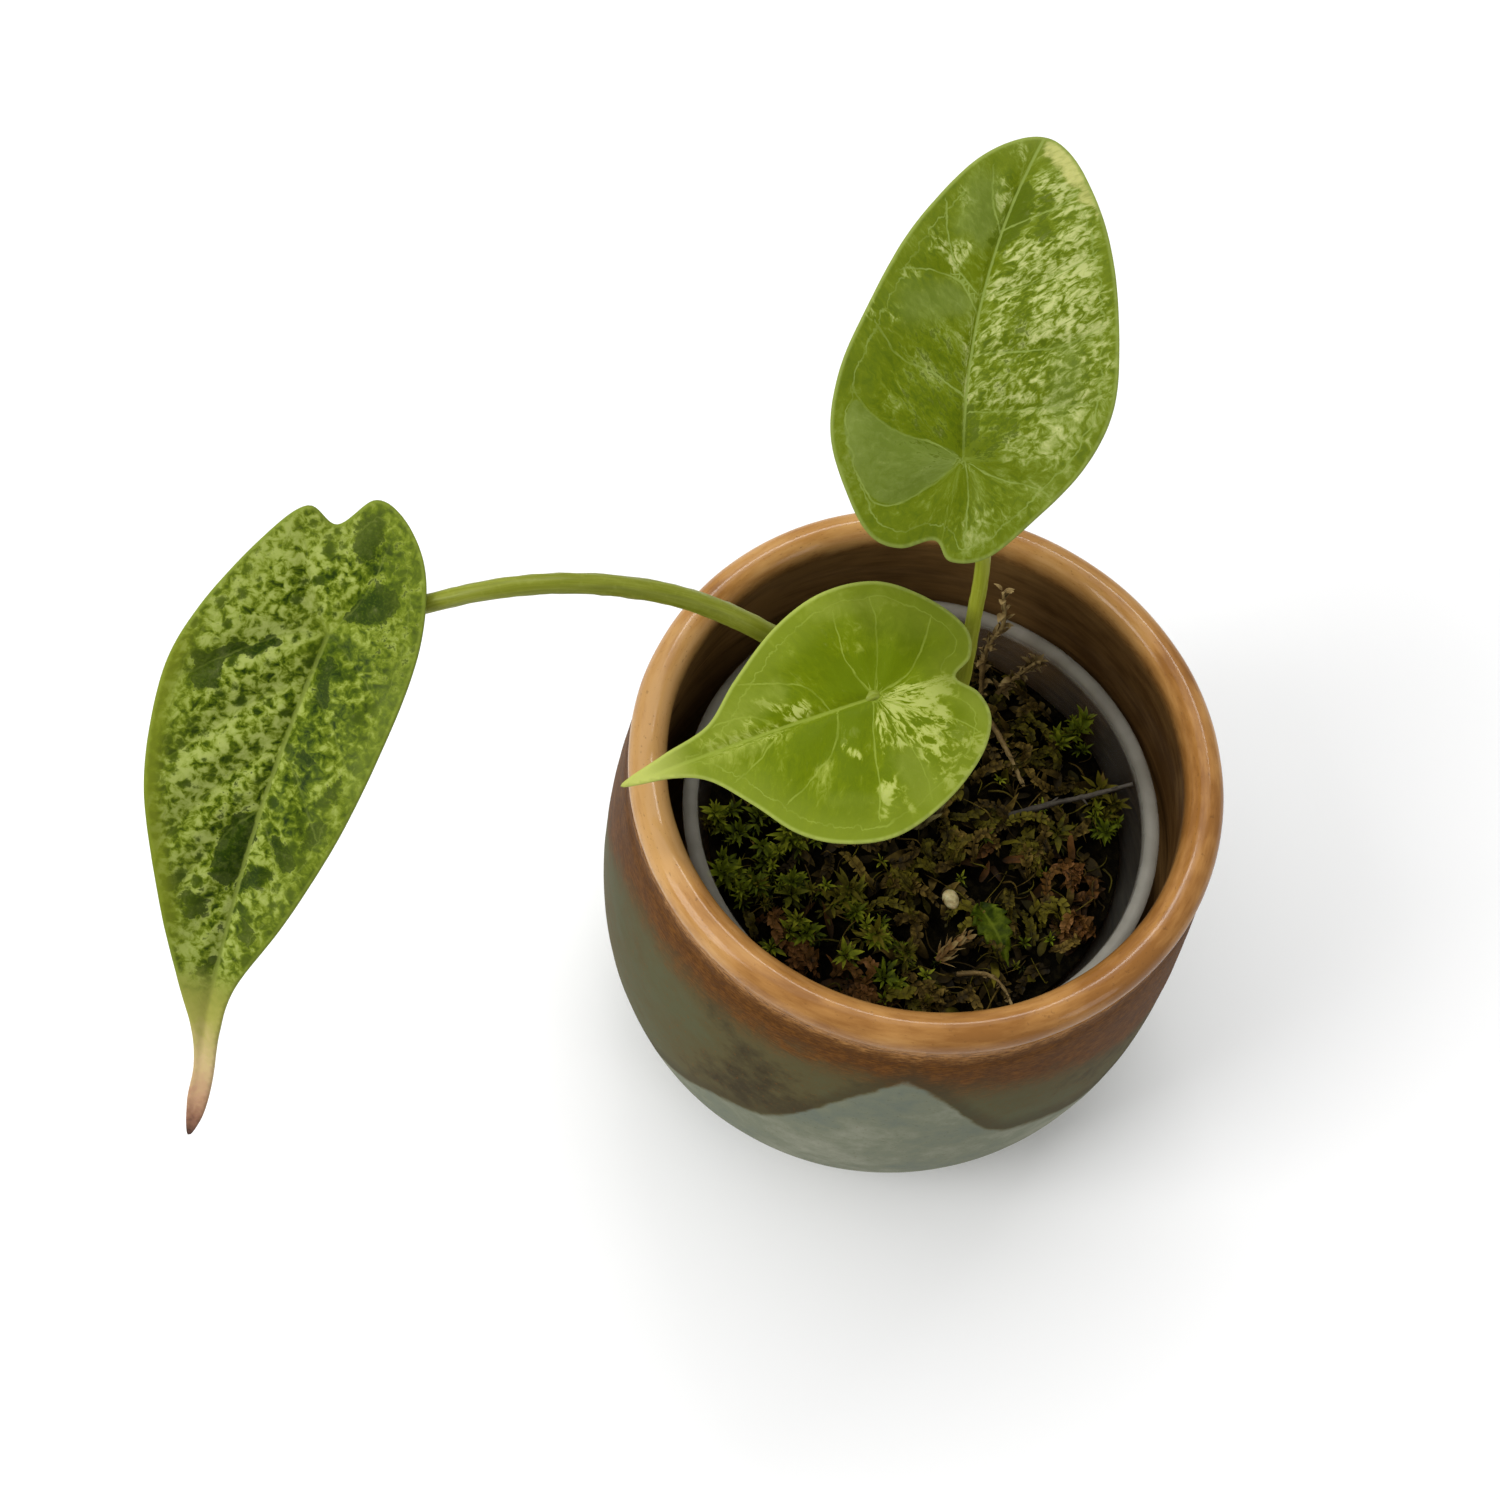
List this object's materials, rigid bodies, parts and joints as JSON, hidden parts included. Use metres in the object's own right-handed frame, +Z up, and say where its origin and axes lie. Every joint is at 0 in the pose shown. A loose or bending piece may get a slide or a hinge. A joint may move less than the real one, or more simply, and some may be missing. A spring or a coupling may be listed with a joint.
{
  "type": "potted alocasia",
  "caption": "Small alocasia with mottled heart-shaped leaves on slim stalks, growing from moss in a clear liner cup inside a round glazed pot.",
  "frame": {"origin": "middle of the pot's flat base", "axes": "+Z up along the pot's axis; -Y is the front, the side seen nearest in the usual view; the long arching leaf is on the -X side"},
  "size_m": [0.1175, 0.1256, 0.1155],
  "materials": {
    "glazed_pot": "gloss caramel, rust and grey-green reactive glaze",
    "clear_plastic": "smooth, see-through grey",
    "moss_soil": "matte, damp, nearly black",
    "green_moss": "matte, living green",
    "brown_moss": "matte, dead olive brown",
    "stalk": "satin, smooth lime green",
    "leaf_old": "satin, pale sage with dark green spots",
    "leaf_tall": "satin, green with one half mottled pale",
    "leaf_young": "satin, yellow lime with cream streaks",
    "dry_moss": "matte, dry straw",
    "twig": "matte, weathered grey",
    "seed": "matte cream"
  },
  "bodies": {
    "root": {"blade_old": "leaf_old", "blade_tall": "leaf_tall", "blade_young": "leaf_young", "brown_tuft_1": "brown_moss", "brown_tuft_2": "brown_moss", "brown_tuft_3": "brown_moss", "brown_tuft_4": "brown_moss", "brown_tuft_5": "brown_moss", "brown_tuft_6": "brown_moss", "brown_tuft_7": "brown_moss", "brown_tuft_8": "brown_moss", "ceramic_pot": "glazed_pot", "crown": "stalk", "curled_strand": "dry_moss", "dry_bud": "dry_moss", "dry_sprig_low": "dry_moss", "dry_sprig_tall": "dry_moss", "dry_strand": "dry_moss", "green_leaflet": "green_moss", "green_shoot_1": "green_moss", "green_shoot_10": "green_moss", "green_shoot_2": "green_moss", "green_shoot_3": "green_moss", "green_shoot_4": "green_moss", "green_shoot_5": "green_moss", "green_shoot_6": "green_moss", "green_shoot_7": "green_moss", "green_shoot_8": "green_moss", "green_shoot_9": "green_moss", "liner_cup": "clear_plastic", "moss_bed": "moss_soil", "petiole_old": "stalk", "petiole_tall": "stalk", "petiole_young": "stalk", "seed": "seed", "twig": "twig"}
  },
  "joints": []
}
